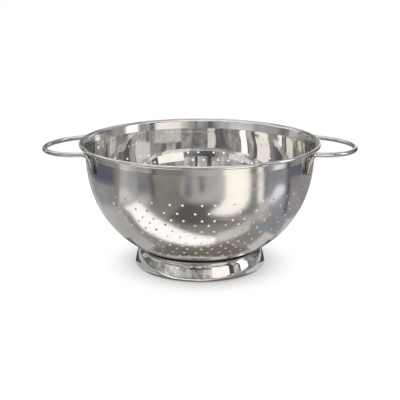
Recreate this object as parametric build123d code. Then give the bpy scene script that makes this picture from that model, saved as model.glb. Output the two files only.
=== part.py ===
from build123d import *
import math
import os

# Colander of polished sheet steel. Z is up, the foot stands on z = 0 and the bowl's axis is x = y = 0.
# The two wire handles point along +X and -X. All lengths are in millimetres, all turns in degrees.

# Bowl: one pressed sheet, perforated below the upright wall, with an outward flared and rolled rim.
# Its outer face is a dome, a knuckle, a belly and an upper arc, each tangent to the next.
bowl_sheet = 0.6
bowl_lift = 7.35
wall_radius = 113.6
wall_upright_run = 5.15
upper_arc_radius = 121.2
belly_arc_radius = 96.5
knuckle_arc_radius = 78.0
upper_arc_slope = 70.9
belly_arc_slope = 30.0
knuckle_arc_slope = 13.0

# Rim: a crease, a straight flare and a hollow bead that curls out and back towards the flare.
crease_radius = 3.0
flare_run = 7.0
flare_lean = 28.0
bead_radius = 1.75
bead_turn = 288.0

# Perforation: rows of hole pairs round the belly, as many pairs in each row, and plain rings of
# holes in the middle of the bottom, with one hole in every so many pitches of the pairs.
hole_diameter = 2.3
pair_count = 24
odd_row_turn = 4.0
even_row_turn = 1.0
row_height_shares = [0.790, 0.716, 0.651, 0.607, 0.549, 0.491, 0.428, 0.394, 0.359, 0.312, 0.267, 0.239]
pair_gap_shares = [0.40, 0.43, 0.40, 0.44, 0.42, 0.48, 0.42, 0.50, 0.43, 0.50, 0.43, 0.50]
bottom_ring_strides = [4, 2, 1, 1]
bottom_ring_shares = [0.25, 0.45, 0.65, 0.85]

# Foot ring: a pressed skirt whose upper flange follows the bowl's outer face and is welded to it.
foot_sheet = 0.7
foot_flange_radius = 58.3
foot_flange_width = 8.3
foot_flare = 8.2
foot_shoulder_radius = 2.6
foot_side_arc_radius = 55.0

# Wire handles: a loop in a slightly drooping plane, a splayed corner and a tail down the wall.
# The tail leans in from under the rim to the wall, and is pressed into its seat at the lower end.
wire_diameter = 4.5
loop_half_width = 43.4
loop_reach = 41.45
loop_rim_gap = 0.6
loop_droop = 2.0
loop_side_turn = 45.0
leg_run = 5.4
leg_corner_gap = 0.64
leg_bend_share = 0.95
tail_splay = 10.72
tail_top_gap = 0.95
tail_top_drop = 3.6
tail_run = 12.9
tail_lean = 1.7
tail_bend_share = 0.7
tail_end_round = 1.0
tail_seat_depth = 0.7

# Resistance welds: round nuggets in the seam, sunk this deep into the wire or the flange.
tail_weld_diameter = 2.0
tail_weld_shares = [0.74, 0.90]
foot_weld_diameter = 3.0
foot_weld_count = 8
weld_depth = 0.35


def heading(slope):
    # The unit vector that rises at this slope, in the plane of radius and height.
    return math.cos(math.radians(slope)), math.sin(math.radians(slope))


def rail_of(start, slope, steps, offset):
    # Walks along a bent sheet and draws the line that lies this far to the left of the walk.
    # A step is (length, 0) for a straight run or (radius, turn) for a bend, left turns positive.
    rail = []
    for size, turn in steps:
        ux, uz = heading(slope)
        side = math.copysign(1, turn)
        spots = []
        for share in (0, 1 / 2, 1):
            now = slope + turn * share
            vx, vz = heading(now)
            if turn == 0:
                place = (start[0] + ux * size * share, start[1] + uz * size * share)
            else:
                place = (start[0] + (vz - uz) * side * size, start[1] + (ux - vx) * side * size)
            spots.append((place[0] - vz * offset, 0, place[1] + vx * offset))
        rail.append(Line(spots[0], spots[2]) if turn == 0 else ThreePointArc(*spots))
        start = place
        slope = now
    return rail


def sheet_section(start, slope, steps, offset):
    # The section of a bent sheet, from the face that is walked to the face on its left.
    near = rail_of(start, slope, steps, 0)
    far = rail_of(start, slope, steps, offset)
    caps = [Line(near[0] @ 0, far[0] @ 0), Line(near[-1] @ 1, far[-1] @ 1)]
    return make_face(Wire(near + far + caps))


def round_spot(radius, angle, height):
    # A point this far from the axis, turned from +X towards +Y.
    return radius * math.cos(math.radians(angle)), radius * math.sin(math.radians(angle)), height


# Bowl arcs, each as its lower slope, upper slope and radius, from the axis out to the wall.
# The dome's radius is what makes the four of them end on the wall.
lower_x, lower_z = heading(knuckle_arc_slope)
middle_x, middle_z = heading(belly_arc_slope)
upper_x, upper_z = heading(upper_arc_slope)
knuckle_width = knuckle_arc_radius * (middle_z - lower_z)
belly_width = belly_arc_radius * (upper_z - middle_z)
upper_width = upper_arc_radius * (1 - upper_z)
dome_arc_radius = (wall_radius - knuckle_width - belly_width - upper_width) / lower_z
bowl_arcs = [
    (0, knuckle_arc_slope, dome_arc_radius),
    (knuckle_arc_slope, belly_arc_slope, knuckle_arc_radius),
    (belly_arc_slope, upper_arc_slope, belly_arc_radius),
    (upper_arc_slope, 90, upper_arc_radius),
]


def wall_steps(low_slope, high_slope):
    # The bends of the bowl's outer face from one of its slopes to another.
    steps = []
    for low, high, radius in bowl_arcs:
        turn = min(high, high_slope) - max(low, low_slope)
        if turn > 0:
            steps.append((radius, turn))
    return steps


def wall_spot(slope):
    # The radius and height of the bowl's outer face where it rises at this slope.
    spot = (0, bowl_lift)
    for low, high, radius in bowl_arcs:
        low_x, low_z = heading(min(slope, low))
        high_x, high_z = heading(min(slope, high))
        spot = (spot[0] + radius * (high_z - low_z), spot[1] + radius * (low_x - high_x))
    return spot


def slope_at(axis, value):
    # The slope where the outer face reaches this radius, on axis 0, or height, on axis 1.
    low, high = 0, 90
    for _ in range(50):
        centre = (low + high) / 2
        if wall_spot(centre)[axis] < value:
            low = centre
        else:
            high = centre
    return low


def square_to_wall(spot, slope, angle):
    # A plane at this radius and height on the outer face, square to its slope, looking out.
    out = heading(slope - 90)
    return Plane(origin=round_spot(spot[0], angle, spot[1]), z_dir=round_spot(out[0], angle, out[1]))


# Bowl sheet: the four arcs, the upright wall, the crease, the flare and the bead.
# The bead's inner face is walked, and everything above the arcs is placed by the walk up to it.
flare_x, flare_z = heading(90 - flare_lean)
curl_radius = bead_radius - bowl_sheet
wall_upright_height = wall_spot(90)[1]
crease_height = wall_upright_height + wall_upright_run
rim_rise = crease_radius * flare_x + flare_run * flare_z - curl_radius * flare_x + bead_radius
rim_height = crease_height + rim_rise
body_steps = wall_steps(0, 90) + [(wall_upright_run, 0)]
rim_steps = [(crease_radius, -flare_lean), (flare_run, 0)]
rim_steps += [(curl_radius, -bead_turn / 2), (curl_radius, -bead_turn / 2)]
bowl_start = (0, bowl_lift)
bowl_section = sheet_section(bowl_start, 0, body_steps + rim_steps, bowl_sheet)

# Everything inside the outer face, up to the crease: the handles and the foot seat against it.
core_rail = rail_of(bowl_start, 0, body_steps, 0)
core_top = (0, 0, crease_height)
core_rail.append(Line(core_rail[-1] @ 1, core_top))
core_rail.append(Line(core_top, (0, 0, bowl_lift)))
bowl_core = revolve(make_face(Wire(core_rail)), axis=Axis.Z)


def drill(slope, angle):
    # The cylinder that pierces one round hole square to the sheet.
    return square_to_wall(wall_spot(slope), slope, angle) * Cylinder(hole_diameter / 2, bowl_sheet * 6)


# The pattern repeats once a pitch, so one pitch of the bowl is pierced and copied round the axis.
# Its cut faces pass midway between the holes, and the copies are sewn along them.
pitch = 360 / pair_count
foot_inner_radius = foot_flange_radius - foot_flange_width
front_angle = -90
pitch_angle = front_angle + (odd_row_turn + even_row_turn) / 2
row_drills = []
for row, (height_share, gap_share) in enumerate(zip(row_height_shares, pair_gap_shares)):
    row_slope = slope_at(1, wall_upright_height * height_share)
    row_angle = front_angle + (even_row_turn if row % 2 else odd_row_turn)
    for side in (-1, 1):
        row_drills.append(drill(row_slope, row_angle + side * pitch * gap_share / 2))
pitch_piece = Rot(0, 0, pitch_angle - pitch / 2) * revolve(bowl_section, axis=Axis.Z, revolution_arc=pitch)
pitch_piece -= row_drills
bowl_faces = []
pierced_pieces = {}
for index in range(pair_count):
    rings = tuple(index % stride == 0 for stride in bottom_ring_strides)
    if rings not in pierced_pieces:
        shares = [share for share, pierced in zip(bottom_ring_shares, rings) if pierced]
        slopes = [slope_at(0, foot_inner_radius * share) for share in shares]
        pierced_pieces[rings] = pitch_piece - [drill(slope, pitch_angle) for slope in slopes]
    for face in pierced_pieces[rings].faces():
        if face.geom_type != GeomType.PLANE or abs(face.normal_at().Z) > 1 / 2:
            bowl_faces.append(Rot(0, 0, index * pitch) * face)
bowl = Solid(Shell(bowl_faces))

# Foot ring: the flange follows the knuckle, and the shoulder turns over into the flared side.
# The side is one long arc, tangent inside the shoulder, that ends on the bottom edge.
foot_bottom_radius = foot_flange_radius + foot_flare
flange_start_slope = slope_at(0, foot_inner_radius)
flange_end_slope = slope_at(0, foot_flange_radius)
flange_end = wall_spot(flange_end_slope)
end_x, end_z = heading(flange_end_slope)
shoulder_centre = (flange_end[0] + end_z * foot_shoulder_radius, flange_end[1] - end_x * foot_shoulder_radius)
edge_width = foot_bottom_radius - shoulder_centre[0]
edge_distance = math.hypot(edge_width, shoulder_centre[1])
centre_gap = foot_side_arc_radius - foot_shoulder_radius
corner_cosine = (centre_gap ** 2 + edge_distance ** 2 - foot_side_arc_radius ** 2) / (2 * centre_gap * edge_distance)
side_slope = -math.degrees(math.atan2(shoulder_centre[1], edge_width)) - math.degrees(math.acos(corner_cosine))
side_x, side_z = heading(side_slope)
side_centre = (shoulder_centre[0] + side_x * centre_gap, shoulder_centre[1] + side_z * centre_gap)
shoulder_end_slope = side_slope + 90
edge_slope = -90 + math.degrees(math.atan2(-side_centre[1], foot_bottom_radius - side_centre[0]))
trim_turn = math.degrees(2 * foot_sheet / foot_side_arc_radius)
foot_steps = wall_steps(flange_start_slope, flange_end_slope)
foot_steps.append((foot_shoulder_radius, shoulder_end_slope - flange_end_slope))
foot_steps.append((foot_side_arc_radius, edge_slope - shoulder_end_slope - trim_turn))
foot_section = sheet_section(wall_spot(flange_start_slope), flange_start_slope, foot_steps, -foot_sheet)
foot_ring = revolve(foot_section, axis=Axis.Z)
foot_ring -= Pos(0, 0, -foot_sheet * 2) * Cylinder(foot_bottom_radius * 2, foot_sheet * 4)

# Foot welds: each nugget is cut out of the flange's upper face and fills the pocket it leaves.
weld_slope = slope_at(0, (foot_inner_radius + foot_flange_radius) / 2)
foot_nuggets = []
for index in range(foot_weld_count):
    seam = square_to_wall(wall_spot(weld_slope), weld_slope, index * 360 / foot_weld_count)
    foot_nuggets.append(seam * Cylinder(foot_weld_diameter / 2, weld_depth * 2))
foot_welds = [foot_ring & nugget for nugget in foot_nuggets]
foot_ring -= foot_nuggets

# Wire path: half of it runs from the tail's lower end, up the wall, round the splayed corner and
# along the leg to the loop's tip, and the other half mirrors it across y = 0.
# The leg lies under the bead, and its corner and the tail's top each stand a gap off the wall.
wire_radius = wire_diameter / 2
corner_radius = wall_radius + wire_radius + leg_corner_gap
corner_reach = math.sqrt(corner_radius ** 2 - loop_half_width ** 2)
loop_height = rim_height - bead_radius * 2 - loop_rim_gap - wire_radius
loop_plane = Plane(origin=(corner_reach + leg_run, 0, loop_height)).rotated((0, loop_droop, 0))
loop_start = loop_plane.from_local_coords((0, loop_half_width, 0))
leg_corner = loop_plane.from_local_coords((-leg_run, loop_half_width, 0))
tail_top_radius = wall_radius + wire_radius + tail_top_gap
tail_top_angle = math.degrees(math.asin((loop_half_width + tail_splay) / tail_top_radius))
tail_top_height = loop_height - tail_top_drop
tail_top = Vector(round_spot(tail_top_radius, tail_top_angle, tail_top_height))
tail_bottom_angle = tail_top_angle + tail_lean
tail_bottom_height = tail_top_height - tail_run
tail_bottom_radius = wall_spot(slope_at(1, tail_bottom_height))[0] + wire_radius - tail_seat_depth
tail_bottom = Vector(round_spot(tail_bottom_radius, tail_bottom_angle, tail_bottom_height))

# The leg's bend takes its share of the leg, and the tail's bend takes its share of what the leg's
# bend leaves of the splayed run between them.
splay = leg_corner - tail_top
leg_bend_turn = math.radians(splay.get_angle(loop_start - leg_corner))
tail_bend_turn = math.radians(splay.get_angle(tail_top - tail_bottom))
leg_bend_run = leg_run * leg_bend_share
tail_bend_run = (splay.length - leg_bend_run) * tail_bend_share
wire_bends = [tail_bend_run / math.tan(tail_bend_turn / 2), leg_bend_run / math.tan(leg_bend_turn / 2)]

# The loop's side and tip are two arcs, each tangent to the next, that share its reach and width.
turn_x, turn_z = heading(loop_side_turn)
turn_scale = turn_x * turn_z - (1 - turn_x) * (1 - turn_z)
loop_side_radius = (loop_reach * turn_x - loop_half_width * (1 - turn_z)) / turn_scale
loop_tip_radius = (loop_half_width * turn_z - loop_reach * (1 - turn_x)) / turn_scale


def loop_spot(turn):
    # A point on the loop where it has turned this far from the leg, in the loop's plane.
    side_x, side_z = heading(min(turn, loop_side_turn))
    now_x, now_z = heading(max(turn, loop_side_turn))
    along = loop_side_radius * side_z + loop_tip_radius * (now_z - turn_z)
    across = loop_half_width - loop_side_radius * (1 - side_x) - loop_tip_radius * (turn_x - now_x)
    return loop_plane.from_local_coords((along, across, 0))


tail_and_leg = FilletPolyline(tail_bottom, tail_top, leg_corner, loop_start, radius=wire_bends)
side_arc = ThreePointArc(loop_start, loop_spot(loop_side_turn / 2), loop_spot(loop_side_turn))
tip_arc = ThreePointArc(loop_spot(loop_side_turn), loop_spot((loop_side_turn + 90) / 2), loop_spot(90))
half_path = tail_and_leg.edges() + [side_arc.edge(), tip_arc.edge()]
wire_path = Wire(half_path + [edge.mirror(Plane.XZ) for edge in half_path])
wire_end = Plane(origin=wire_path @ 0, z_dir=wire_path % 0)
handle = sweep(wire_end * Circle(wire_diameter / 2), path=wire_path)
end_rounds = handle.edges().filter_by(GeomType.CIRCLE).sort_by(Axis.Z)[:2]
handle = fillet(end_rounds, tail_end_round) - bowl_core

# Tail welds: two nuggets in each tail, cut out of the seated face in the same way.
tail_nuggets = []
for share in tail_weld_shares:
    height = tail_top_height + (tail_bottom_height - tail_top_height) * share
    angle = tail_top_angle + (tail_bottom_angle - tail_top_angle) * share
    slope = slope_at(1, height)
    spot = (wall_spot(slope)[0], height)
    for side in (-1, 1):
        seam = square_to_wall(spot, slope, angle * side)
        tail_nuggets.append(seam * Cylinder(tail_weld_diameter / 2, weld_depth * 2))
tail_welds = [handle & nugget for nugget in tail_nuggets]
handle -= tail_nuggets
half_turn = Rot(0, 0, 180)

nodes = {
    "bowl": bowl,
    "foot_ring": foot_ring,
    "foot_welds": Compound(foot_welds),
    "right_handle": handle,
    "right_handle_welds": Compound(tail_welds),
    "left_handle": half_turn * handle,
    "left_handle_welds": half_turn * Compound(tail_welds),
}
os.makedirs("parts", exist_ok=True)
for name, shape in nodes.items():
    export_step(shape, f"parts/{name}.step")
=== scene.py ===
import bpy
import math
import numpy as np
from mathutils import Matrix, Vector


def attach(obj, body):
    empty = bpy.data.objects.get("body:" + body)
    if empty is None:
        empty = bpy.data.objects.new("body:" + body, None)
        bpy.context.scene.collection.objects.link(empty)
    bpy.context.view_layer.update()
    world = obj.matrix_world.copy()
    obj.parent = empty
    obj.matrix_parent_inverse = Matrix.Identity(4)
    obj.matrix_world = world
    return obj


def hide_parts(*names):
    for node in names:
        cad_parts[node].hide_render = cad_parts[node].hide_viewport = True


# A footed colander of polished steel sheet with two wire handles. The axis is x = y = 0, the foot
# stands on z = 0. The pieces' sizes are in millimetres and turns in degrees. The meshes, the looks
# and the studio are in metres.
mm = 0.001
weldSteps = 1e8  # per metre: points are joined where they agree to ten nanometres
lookupCount = 20001  # points along a section among which a place is looked up
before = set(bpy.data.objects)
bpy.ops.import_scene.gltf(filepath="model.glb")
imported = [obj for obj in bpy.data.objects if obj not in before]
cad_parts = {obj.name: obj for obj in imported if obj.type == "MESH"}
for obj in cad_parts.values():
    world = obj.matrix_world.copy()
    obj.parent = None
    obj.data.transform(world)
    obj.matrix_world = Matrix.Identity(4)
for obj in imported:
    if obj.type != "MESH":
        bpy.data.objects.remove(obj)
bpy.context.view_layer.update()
print("frame:", ", ".join(sorted(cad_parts)))

# The camera of the photograph, measured from the rim, the wall and the foot.
view = {"target": (0.0, 0.0, 0.0633), "distance": 0.8520, "elevation": 15.56, "lens": 75.28, "sensor": 36.0,
        "clipStart": 0.01}


def makeCamera(view):
    # Stands at the distance from the target, raised by the elevation, and looks straight at it.
    rise = math.radians(view["elevation"])
    back = Vector((0, -math.cos(rise), math.sin(rise))) * view["distance"]
    data = bpy.data.cameras.new("camera")
    data.lens = view["lens"]
    data.sensor_width = view["sensor"]
    data.clip_start = view["clipStart"]
    camera = bpy.data.objects.new("camera", data)
    bpy.context.scene.collection.objects.link(camera)
    camera.location = Vector(view["target"]) + back
    camera.rotation_euler = (-back).to_track_quat("-Z", "Y").to_euler()
    bpy.context.scene.camera = camera


makeCamera(view)
bpy.context.scene.view_settings.view_transform = "Standard"
print("camera set")


def gridFaces(rows, columns, flip=False):
    # Quads of a grid of points counted row by row, each from a point to the next in its row and up.
    first = (np.arange(rows - 1)[:, None] * columns + np.arange(columns - 1)).ravel()
    quads = np.stack([first, first + 1, first + columns + 1, first + columns], 1)
    return quads[:, ::-1] if flip else quads


def addPiece(name, patches, attribute=None):
    # Welds the patches, each (points, normals, quads, extra), where points agree, turns the quads that
    # meet a pole into triangles, and keeps the worked out normals.
    starts = np.cumsum([0] + [len(patch[0]) for patch in patches])
    points = np.concatenate([patch[0] for patch in patches])
    normals = np.concatenate([patch[1] for patch in patches])
    quads = np.concatenate([patch[2] + start for patch, start in zip(patches, starts)])
    keys = np.round(points * weldSteps).astype(np.int64)
    _, first, back = np.unique(keys, axis=0, return_index=True, return_inverse=True)
    quads = back.ravel()[quads]
    lowPole = quads[:, 0] == quads[:, 1]
    highPole = quads[:, 2] == quads[:, 3]
    triangles = np.concatenate([quads[lowPole][:, [0, 2, 3]], quads[highPole][:, [0, 1, 2]]])
    quads = quads[~(lowPole | highPole)]
    mesh = bpy.data.meshes.new(name)
    mesh.from_pydata(points[first].tolist(), [], quads.tolist() + triangles.tolist())
    mesh.polygons.foreach_set("use_smooth", np.ones(len(mesh.polygons), bool))
    if attribute:
        extra = np.concatenate([patch[3] for patch in patches])[first]
        kind = "FLOAT" if extra.ndim == 1 else "FLOAT_VECTOR"
        field = "value" if extra.ndim == 1 else "vector"
        layer = mesh.attributes.new(attribute, kind, "POINT")
        layer.data.foreach_set(field, extra.astype(np.float32).ravel())
    mesh.update()
    unit = normals[first] / np.linalg.norm(normals[first], axis=1)[:, None]
    mesh.normals_split_custom_set_from_vertices(unit.tolist())
    piece = bpy.data.objects.new(name, mesh)
    bpy.context.scene.collection.objects.link(piece)
    print(name, len(mesh.vertices), "points,", len(quads) * 2 + len(triangles), "triangles")
    return piece


radiusColumn, heightColumn, slopeColumn, runColumn, signColumn, sizeColumn = range(6)  # of a trace


def traceSection(start, slope, steps):
    # Where each step of a bent sheet's section starts: radius, height, slope, run, turn's sign, size.
    # A step is (length, 0) for a straight run or (radius, turn) for a bend, left turns positive.
    rows = []
    radius, height = start
    angle = math.radians(slope)
    for size, turn in steps:
        sign = float(np.sign(turn))
        run = size if turn == 0 else size * math.radians(abs(turn))
        rows.append((radius, height, angle, run, sign, size))
        end = angle + math.radians(turn)
        if turn == 0:
            radius, height = radius + size * math.cos(angle), height + size * math.sin(angle)
        else:
            radius += sign * size * (math.sin(end) - math.sin(angle))
            height += sign * size * (math.cos(angle) - math.cos(end))
        angle = end
    return np.array(rows)


def runEnds(trace):
    # The run from the section's start to the end of each step.
    return np.cumsum(trace[:, runColumn])


def sectionAt(trace, run):
    # Radius, height and slope after this run. In a bend of radius R the slope turns by run / R, and
    # the point moves by R times the change of (sine, minus cosine) of the slope.
    run = np.asarray(run, float)
    ends = runEnds(trace)
    index = np.minimum(np.searchsorted(ends, run), len(trace) - 1)
    step = trace[index]
    along = run - (ends - trace[:, runColumn])[index]
    radius, height, start = step[..., radiusColumn], step[..., heightColumn], step[..., slopeColumn]
    sign, size = step[..., signColumn], step[..., sizeColumn]
    slope = start + sign * along / size
    bendRadius = radius + sign * size * (np.sin(slope) - np.sin(start))
    bendHeight = height + sign * size * (np.cos(start) - np.cos(slope))
    flatRadius = radius + along * np.cos(slope)
    flatHeight = height + along * np.sin(slope)
    flat = sign == 0
    return np.where(flat, flatRadius, bendRadius), np.where(flat, flatHeight, bendHeight), slope


def spin(radius, height, turn):
    # A point this far from the axis and this high, turned from +X towards +Y, in metres.
    angle = np.radians(turn)
    return np.stack(np.broadcast_arrays(radius * np.cos(angle), radius * np.sin(angle), height), -1) * mm


def sheetPoint(trace, run, turn, depth):
    # A point at this run of the section and this turn, moved off the walked face by the depth.
    radius, height, slope = sectionAt(trace, run)
    return spin(radius - np.sin(slope) * depth, height + np.cos(slope) * depth, turn)


def sheetNormal(trace, run, turn, side):
    # Square to the sheet: side 1 looks out of the walked face, side -1 out of the other face.
    slope = sectionAt(trace, run)[2]
    return spin(np.sin(slope) * side, -np.cos(slope) * side, turn) / mm


def flatten(*arrays):
    # Whole grids as plain lists of rows.
    return [array.reshape(-1, 3) for array in arrays]


# The bowl: four tangent arcs, an upright wall, a crease, a flare and a rolled bead. The bead lies where
# the frame has it, and the flare under it is steeper, with a bend at its top, as photographed.
bowlSizes = {
    "sheet": 0.6, "lift": 7.35, "wallRadius": 113.6, "uprightRun": 3.471,
    "upperArc": 121.2, "bellyArc": 96.5, "kneeArc": 78.0, "slopes": (13.0, 30.0, 70.9),
    "creaseRadius": 5.0, "flareRun": 6.86, "flareLean": 12.0,
    "bendRadius": 1.8, "bendLean": 65.0, "bendRun": 1.8, "beadRadius": 1.75, "beadTurn": 251.0,
    "columns": 240, "rowGap": 4.0,
    "topSteps": (0, 2, 4, 3, 5, 2, 20),  # from the upper arc to the bead, 0 for as many as rowGap asks
}
holePattern = {
    "diameter": 2.3, "edgeRound": 0.14, "pairs": 24, "front": -90.0, "turns": (4.0, 1.0), "ringTurn": 2.5,
    "heights": (0.790, 0.716, 0.651, 0.607, 0.549, 0.491, 0.428, 0.394, 0.359, 0.312, 0.267, 0.239),
    "gaps": (0.40, 0.43, 0.40, 0.44, 0.42, 0.48, 0.42, 0.50, 0.43, 0.50, 0.43, 0.50),
    "ringRadii": (12.5, 22.5, 32.5, 42.5), "ringStrides": (4, 2, 1, 1), "cellSide": 3,
    "ringMargin": 4.5, "lowMargin": 2.4, "topMargin": 4.0,  # runs beside the outermost holes
    "middleShare": 0.55, "edgeLift": 0.25,
}
arcs = 4  # the arcs that a trace of the bowl begins with


def bowlTrace(sizes):
    # The dome's radius is what makes the four arcs end on the wall: the wall's radius less the other
    # arcs' widths, over the sine of the dome's slope.
    low, middle, high = sizes["slopes"]
    sine = [math.sin(math.radians(slope)) for slope in (low, middle, high)]
    others = sizes["kneeArc"] * (sine[1] - sine[0]) + sizes["bellyArc"] * (sine[2] - sine[1])
    others += sizes["upperArc"] * (1 - sine[2])
    dome = (sizes["wallRadius"] - others) / sine[0]
    return traceSection((0.0, sizes["lift"]), 0.0, [
        (dome, low), (sizes["kneeArc"], middle - low), (sizes["bellyArc"], high - middle),
        (sizes["upperArc"], 90 - high), (sizes["uprightRun"], 0),
        (sizes["creaseRadius"], -sizes["flareLean"]), (sizes["flareRun"], 0),
        (sizes["bendRadius"], sizes["flareLean"] - sizes["bendLean"]), (sizes["bendRun"], 0),
        (sizes["beadRadius"] - sizes["sheet"], -sizes["beadTurn"]),
    ])


def plainBand(trace, runs, sheet, turns):
    # Both faces of the sheet between the first and last run, as two grids of run by turn.
    run, turn = np.meshgrid(runs, turns, indexing="ij")
    patches = []
    for depth, side in ((0.0, 1), (sheet, -1)):
        points = sheetPoint(trace, run, turn, depth)
        normals = sheetNormal(trace, run, turn, side)
        inside = np.full(run.size, float(side < 0))
        patches.append((*flatten(points, normals), gridFaces(*run.shape, flip=side < 0), inside))
    return patches


def piercedBand(trace, sheet, low, high, centre, holeTurns, cellStarts, cellTurn, cellColumns, pattern):
    # One row of holes. Each hole has a cell, from its start turn over its width and from the low to
    # the high run. Rings of points lead from the cell's edge to the hole's rounded edge, through the
    # sheet and back out to the cell's edge on the other face. A circle's point is at
    # centre + radius times (sine in run, cosine in turn).
    wide, tall = cellColumns, pattern["cellSide"]
    count = 2 * (wide + tall)
    ahead, climb = np.arange(wide) / wide, np.arange(tall) / tall
    across = np.concatenate([ahead, np.ones(tall), 1 - ahead, np.zeros(tall), [0]])
    up = np.concatenate([np.zeros(wide), climb, np.ones(wide), 1 - climb, [0]])
    edgeTurn = cellStarts[:, None] + across * cellTurn
    edgeRun = np.broadcast_to(low + up * (high - low), edgeTurn.shape)
    step = 360 / count
    around = np.radians(270 - wide * step / 2 + np.arange(count + 1) * step)
    around[-1] = around[0]
    radius = pattern["diameter"] / 2
    bevel = pattern["edgeRound"]
    ringRadius = sectionAt(trace, centre)[0]

    def circle(size, depth):
        # Run and turn of a circle round every hole, on the face at this depth.
        slope = sectionAt(trace, centre)[2]
        faceRadius = ringRadius - np.sin(slope) * depth
        run = np.broadcast_to(centre + size * np.sin(around), edgeTurn.shape)
        return run, holeTurns[:, None] + np.degrees(size * np.cos(around) / faceRadius)

    outer = circle(radius + bevel, 0.0)
    share = pattern["middleShare"]
    middle = (edgeRun * (1 - share) + outer[0] * share, edgeTurn * (1 - share) + outer[1] * share)
    rings = [
        (edgeRun, edgeTurn, 0.0, 1, 0), (*middle, 0.0, 1, 0), (*outer, 0.0, 1, 0),
        (*circle(radius, bevel), bevel, 1, 1), (*circle(radius, sheet - bevel), sheet - bevel, -1, 1),
        (*circle(radius + bevel, sheet), sheet, -1, 0), (edgeRun, edgeTurn, sheet, -1, 0),
    ]
    points = []
    normals = []
    inside = []
    for run, turn, depth, side, wall in rings:
        slope = sectionAt(trace, run)[2]
        square = sheetNormal(trace, run, turn, side)
        uphill = spin(np.cos(slope), np.sin(slope), turn) / mm
        sideways = spin(np.ones_like(slope), np.zeros_like(slope), turn + 90) / mm
        inward = -(np.sin(around)[:, None] * uphill + np.cos(around)[:, None] * sideways)
        points.append(sheetPoint(trace, run, turn, depth))
        normals.append(inward + square * pattern["edgeLift"] if wall else square)
        inside.append(np.full(run.shape, float(side < 0)))
    points, normals, inside = (np.stack(grids, 1) for grids in (points, normals, inside))
    cells, rows, columns = points.shape[:3]
    quads = gridFaces(rows, columns)[None] + (np.arange(cells) * rows * columns)[:, None, None]
    return [(*flatten(points, normals), quads.reshape(-1, 4), inside.ravel())]


def makeBowl(sizes, pattern):
    # Bands follow each other from the middle of the bottom to the bead, plain or pierced, and meet on
    # the same columns. A row's cells start on the columns nearest to halfway between its holes.
    trace = bowlTrace(sizes)
    sheet = sizes["sheet"]
    marks = runEnds(trace)
    total = marks[-1]
    column = 360 / sizes["columns"]
    turns = pattern["front"] + np.arange(sizes["columns"] + 1) * column
    turns = np.concatenate([turns[:-1], [turns[0]]])
    runs = np.linspace(0, total, lookupCount)
    radii, heights, _ = sectionAt(trace, runs)
    wallTop = trace[arcs, heightColumn]
    belly = runs < marks[arcs - 1]
    rowRuns = np.interp(np.array(pattern["heights"]) * wallTop, heights[belly], runs[belly])
    ringRuns = np.interp(pattern["ringRadii"], radii[belly], runs[belly])
    pitch = 360 / pattern["pairs"]
    bands = []
    for run, stride in zip(ringRuns, pattern["ringStrides"]):
        spots = pattern["ringTurn"] + np.arange(0, pattern["pairs"], stride) * pitch
        bands.append((run, spots, pitch * stride))
    for index in reversed(range(len(rowRuns))):
        centre = pattern["turns"][index % 2] + np.arange(pattern["pairs"]) * pitch
        gap = pitch * pattern["gaps"][index] / 2
        spots = np.stack([centre - gap, centre + gap], 1).ravel()
        bands.append((rowRuns[index], spots, pitch / 2))
    centres = np.array([band[0] for band in bands])
    between = (centres[1:] + centres[:-1]) / 2
    rings = len(ringRuns)
    lows = np.concatenate([[centres[0] - pattern["ringMargin"]], between])
    highs = np.concatenate([between, [centres[-1] + pattern["topMargin"]]])
    highs[rings - 1] = centres[rings - 1] + pattern["ringMargin"]
    lows[rings] = centres[rings] - pattern["lowMargin"]
    patches = []
    last = 0.0
    for (run, spots, width), low, high in zip(bands, lows, highs):
        if not np.isclose(low, last):
            steps = max(1, round((low - last) / sizes["rowGap"]))
            patches += plainBand(trace, np.linspace(last, low, steps + 1), sheet, turns)
        cellColumns = round(width / column)
        paired = len(spots) > pattern["pairs"]
        halfway = (spots[0] + spots[1]) / 2 - width if paired else spots[0] - width / 2
        starts = pattern["front"] + round(halfway / column) * column + np.arange(len(spots)) * width
        holes = pattern["front"] + spots
        patches += piercedBand(trace, sheet, low, high, run, holes, starts, width, cellColumns, pattern)
        last = high
    for mark, steps in zip(marks[arcs - 1:], sizes["topSteps"]):
        steps = steps or max(1, round((mark - last) / sizes["rowGap"]))
        patches += plainBand(trace, np.linspace(last, mark, steps + 1), sheet, turns)
        last = mark
    depth, turn = np.meshgrid([0.0, sheet], turns, indexing="ij")
    end = np.full(depth.shape, total)
    points = sheetPoint(trace, end, turn, depth)
    slope = sectionAt(trace, end)[2]
    normals = spin(np.cos(slope), np.sin(slope), turn) / mm
    patches.append((*flatten(points, normals), gridFaces(*depth.shape), np.zeros(depth.size)))
    return addPiece("bowlSheet", patches, "inside"), trace


bowlPiece, bowlLine = makeBowl(bowlSizes, holePattern)
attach(bowlPiece, "root")
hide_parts("bowl")

# The foot: an upper flange on the bowl's outer face, a small crease, a round shoulder and a flared side.
footSizes = {
    "sheet": 0.7, "flangeRadius": 58.3, "flangeWidth": 8.3, "flare": 8.2, "crease": 1.2, "creaseTurn": 57.0,
    "shoulder": 10.0, "sideArc": 65.0, "columns": 240, "edgeRound": 0.2, "edgeShare": 0.6,
    "overrun": 2.0, "points": (5, 5, 9, 12),  # points on the flange, crease, shoulder and side
}


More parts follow.
